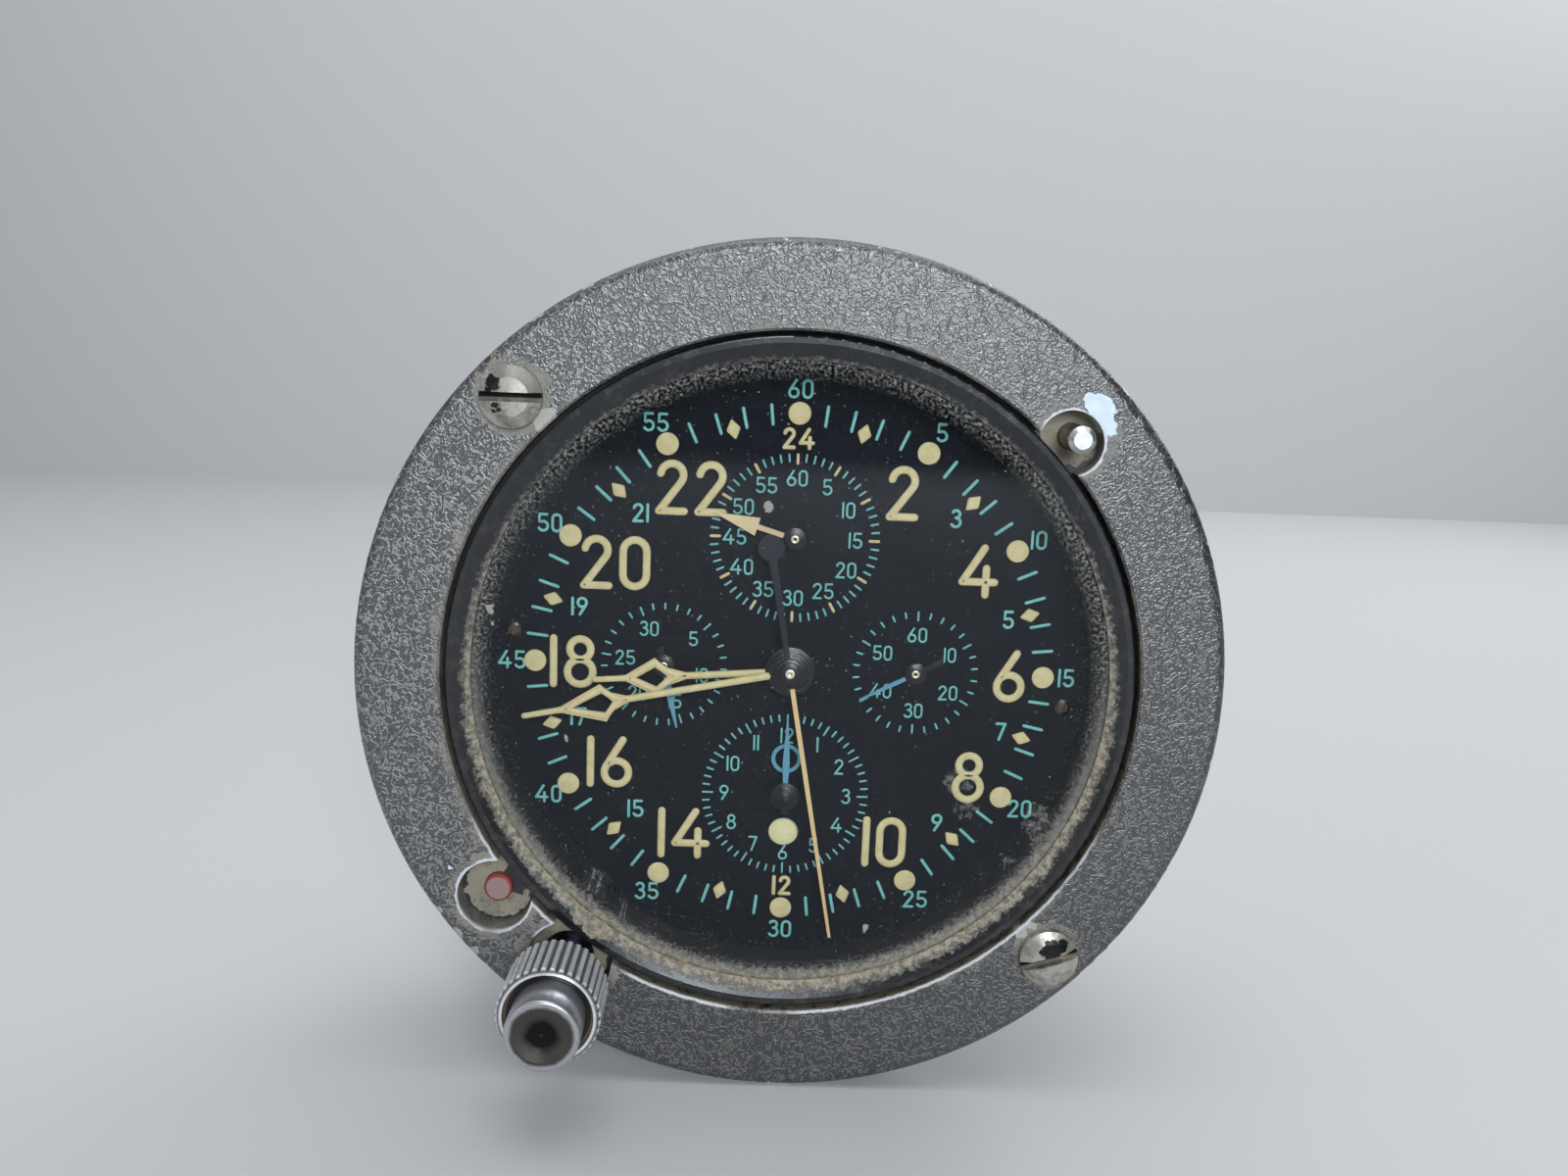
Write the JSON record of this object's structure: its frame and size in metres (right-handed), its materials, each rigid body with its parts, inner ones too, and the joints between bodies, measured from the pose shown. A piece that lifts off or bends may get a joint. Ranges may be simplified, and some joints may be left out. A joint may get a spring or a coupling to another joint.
{
  "type": "aircraft clock",
  "caption": "Panel clock with a 24 hour dial, date and elapsed time sub-dials, sweep seconds, winding knob and two push pins.",
  "frame": {"origin": "centre of the bolt circle in the rear plane of the flange, which bears on a panel", "axes": "+Z to 12 o'clock, -Y out of the dial toward the viewer, +X to 3 o'clock"},
  "size_m": [0.0988, 0.0597, 0.0988],
  "materials": {
    "ring_finish": "black wrinkle paint",
    "screw_steel": "nickel plated",
    "case_black": "black paint",
    "bezel_black": "gloss black",
    "glass": "clear",
    "rubber": "matt",
    "dial_black": "matt black paint",
    "brass": "turned",
    "plate_nickel": "nickel plated",
    "arbor_steel": "polished",
    "hand_blue": "painted",
    "hand_lume": "luminous paint",
    "indicator_yellow": "painted",
    "knob_metal": "worn dark finish"
  },
  "bodies": {
    "case": {"mounting_ring": "ring_finish", "mounting_screws": "screw_steel", "case_body": "case_black", "bezel": "bezel_black", "glass": "glass", "glass_gasket": "rubber", "reflector_ring": "case_black", "dial_support_ring": "brass", "dial": "dial_black", "dial_screws": "screw_steel", "cover_gasket": "rubber", "rear_cover": "case_black", "cover_screws": "screw_steel", "front_plate": "plate_nickel", "rear_plate": "plate_nickel", "pillars": "plate_nickel", "plate_screws": "screw_steel", "minute_wheel_post": "arbor_steel", "transfer_post": "arbor_steel", "winding_pod": "case_black", "knob_bush": "knob_metal", "pin_bush": "knob_metal", "set_bush": "knob_metal"},
    "barrel": {"barrel_drum": "brass", "barrel_cover": "brass"},
    "intermediate": {"intermediate_wheel": "brass"},
    "centre": {"centre_wheel": "brass"},
    "third": {"third_wheel": "brass"},
    "fourth": {"fourth_wheel": "brass", "small_seconds_hand": "hand_blue"},
    "escape": {"escape_wheel": "brass"},
    "pallets": {"pallet_fork": "arbor_steel"},
    "balance": {"balance_wheel": "brass"},
    "cannon": {"cannon_pinion": "arbor_steel", "minute_hand": "hand_lume"},
    "minute_work": {"minute_wheel": "brass"},
    "hour": {"hour_wheel": "brass", "hour_hand": "hand_lume"},
    "sweep": {"sweep_arbor": "arbor_steel", "sweep_seconds_hand": "hand_lume"},
    "register": {"register_arbor": "arbor_steel", "register_hand": "hand_lume"},
    "elapsed_minutes": {"elapsed_minute_arbor": "arbor_steel", "elapsed_minute_hand": "hand_blue"},
    "elapsed_hours": {"elapsed_hour_tube": "arbor_steel", "elapsed_hour_hand": "hand_blue"},
    "date": {"date_arbor": "arbor_steel", "date_hand": "hand_blue"},
    "indicator": {"indicator_disc": "indicator_yellow"},
    "ratchet": {"ratchet_wheel": "arbor_steel", "barrel_arbor": "arbor_steel"},
    "transfer": {"transfer_wheel": "arbor_steel"},
    "pull_sleeve": {"knob_sleeve": "knob_metal"},
    "knob": {"knob": "knob_metal", "knob_stem": "arbor_steel"},
    "knob_push": {"push_button": "knob_metal"},
    "pin": {"pin_button": "knob_metal"},
    "set_pin": {"set_button": "knob_metal"}
  },
  "joints": [
    {"name": "seconds_turn", "type": "hinge", "parent": "case", "child": "fourth", "pos_m": [0.015, 0, 0], "axis": [0, 1, 0], "continuous": true},
    {"name": "third_turn", "type": "hinge", "parent": "case", "child": "third", "pos_m": [0.00898, 0, 0.006], "axis": [0, 1, 0], "continuous": true},
    {"name": "centre_turn", "type": "hinge", "parent": "case", "child": "centre", "pos_m": [0, 0, 0], "axis": [0, 1, 0], "continuous": true},
    {"name": "intermediate_turn", "type": "hinge", "parent": "case", "child": "intermediate", "pos_m": [-0.0112, 0, 0.00102], "axis": [0, 1, 0], "continuous": true},
    {"name": "barrel_turn", "type": "hinge", "parent": "case", "child": "barrel", "pos_m": [-0.01147, 0, -0.01577], "axis": [0, 1, 0], "continuous": true},
    {"name": "escape_turn", "type": "hinge", "parent": "case", "child": "escape", "pos_m": [0.02009, 0, -0.00607], "axis": [0, 1, 0], "continuous": true},
    {"name": "pallet_rock", "type": "hinge", "parent": "case", "child": "pallets", "pos_m": [0.01832, 0, -0.00954], "axis": [0, 1, 0], "range_deg": [-5, 5]},
    {"name": "balance_swing", "type": "hinge", "parent": "case", "child": "balance", "pos_m": [0.01532, 0, -0.01542], "axis": [0, 1, 0], "range_deg": [-135, 135]},
    {"name": "minute_hand_turn", "type": "hinge", "parent": "case", "child": "cannon", "pos_m": [0, 0, 0], "axis": [0, 1, 0], "continuous": true},
    {"name": "minute_wheel_turn", "type": "hinge", "parent": "case", "child": "minute_work", "pos_m": [0.00742, 0, 0.00742], "axis": [0, 1, 0], "continuous": true},
    {"name": "hour_hand_turn", "type": "hinge", "parent": "case", "child": "hour", "pos_m": [0, 0, 0], "axis": [0, 1, 0], "continuous": true},
    {"name": "sweep_hand_turn", "type": "hinge", "parent": "case", "child": "sweep", "pos_m": [0, 0, 0], "axis": [0, 1, 0], "continuous": true},
    {"name": "register_hand_turn", "type": "hinge", "parent": "case", "child": "register", "pos_m": [0, 0, 0.0157], "axis": [0, 1, 0], "continuous": true},
    {"name": "elapsed_minute_turn", "type": "hinge", "parent": "case", "child": "elapsed_minutes", "pos_m": [0, 0, -0.0157], "axis": [0, 1, 0], "continuous": true},
    {"name": "elapsed_hour_turn", "type": "hinge", "parent": "case", "child": "elapsed_hours", "pos_m": [0, 0, -0.0157], "axis": [0, 1, 0], "continuous": true},
    {"name": "date_hand_turn", "type": "hinge", "parent": "case", "child": "date", "pos_m": [-0.015, 0, 0], "axis": [0, 1, 0], "continuous": true},
    {"name": "indicator_turn", "type": "hinge", "parent": "case", "child": "indicator", "pos_m": [0, 0, -0.0245], "axis": [0, 1, 0], "range_deg": [0, 120]},
    {"name": "knob_pull", "type": "slide", "parent": "case", "child": "pull_sleeve", "axis": [0, -1, 0], "range_m": [0, 0.003]},
    {"name": "knob_turn", "type": "hinge", "parent": "pull_sleeve", "child": "knob", "pos_m": [-0.02531, 0, -0.0348], "axis": [0, 1, 0], "continuous": true},
    {"name": "knob_push_in", "type": "slide", "parent": "knob", "child": "knob_push", "axis": [0, 1, 0], "range_m": [0, 0.0015], "stiffness_N_per_m": 500},
    {"name": "transfer_turn", "type": "hinge", "parent": "case", "child": "transfer", "pos_m": [-0.02021, 0, -0.02779], "axis": [0, 1, 0], "continuous": true},
    {"name": "ratchet_turn", "type": "hinge", "parent": "case", "child": "ratchet", "pos_m": [-0.01147, 0, -0.01577], "axis": [0, 1, 0], "continuous": true},
    {"name": "pin_push_in", "type": "slide", "parent": "case", "child": "pin", "axis": [0, 1, 0], "range_m": [0, 0.002], "stiffness_N_per_m": 400},
    {"name": "set_push_in", "type": "slide", "parent": "case", "child": "set_pin", "axis": [0, 1, 0], "range_m": [0, 0.0008], "stiffness_N_per_m": 400}
  ],
  "couplings": [
    {"joint": "third_turn", "follows": "seconds_turn", "ratio": -0.13333},
    {"joint": "centre_turn", "follows": "seconds_turn", "ratio": 0.016667},
    {"joint": "intermediate_turn", "follows": "seconds_turn", "ratio": -0.0041667},
    {"joint": "barrel_turn", "follows": "seconds_turn", "ratio": 0.00069444},
    {"joint": "escape_turn", "follows": "seconds_turn", "ratio": -8},
    {"joint": "minute_wheel_turn", "follows": "minute_hand_turn", "ratio": -0.25},
    {"joint": "hour_hand_turn", "follows": "minute_hand_turn", "ratio": 0.041667},
    {"joint": "register_hand_turn", "follows": "sweep_hand_turn", "ratio": 0.016667},
    {"joint": "elapsed_hour_turn", "follows": "elapsed_minute_turn", "ratio": 0.083333},
    {"joint": "transfer_turn", "follows": "knob_turn", "ratio": -0.4},
    {"joint": "ratchet_turn", "follows": "knob_turn", "ratio": 0.28571}
  ]
}
